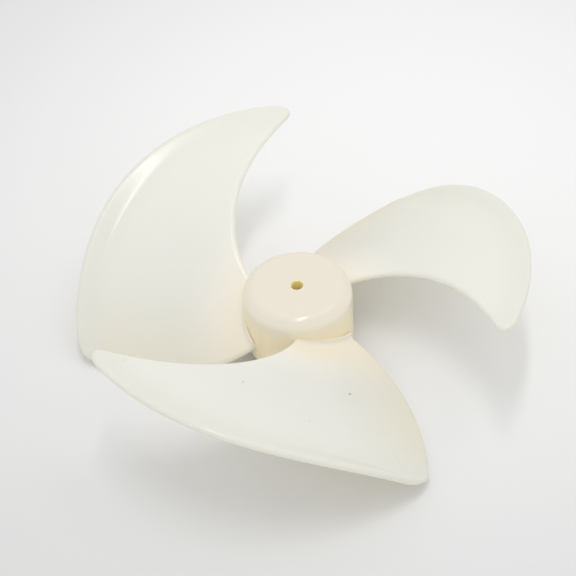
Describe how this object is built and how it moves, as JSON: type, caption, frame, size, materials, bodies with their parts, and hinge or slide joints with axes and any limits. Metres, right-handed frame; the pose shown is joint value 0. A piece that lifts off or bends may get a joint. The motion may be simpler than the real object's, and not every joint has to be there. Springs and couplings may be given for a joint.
{
  "type": "axial fan impeller",
  "caption": "Moulded plastic axial fan wheel: wide forward-swept blades with an upturned rim lip on a closed hub cup with a small shaft bore.",
  "frame": {"origin": "on the bore axis at the foot of the boss inside the hub cup, where the motor shaft goes in", "axes": "+Z along the bore axis towards the closed face of the hub; seen along -Z the wheel turns clockwise, tips first; one blade's tip lies 86 degrees from +X towards +Y"},
  "size_m": [0.1198, 0.12, 0.035],
  "materials": {
    "impeller": "natural cream, glossy, slightly translucent"
  },
  "bodies": {
    "root": {"impeller": "impeller"}
  },
  "joints": []
}
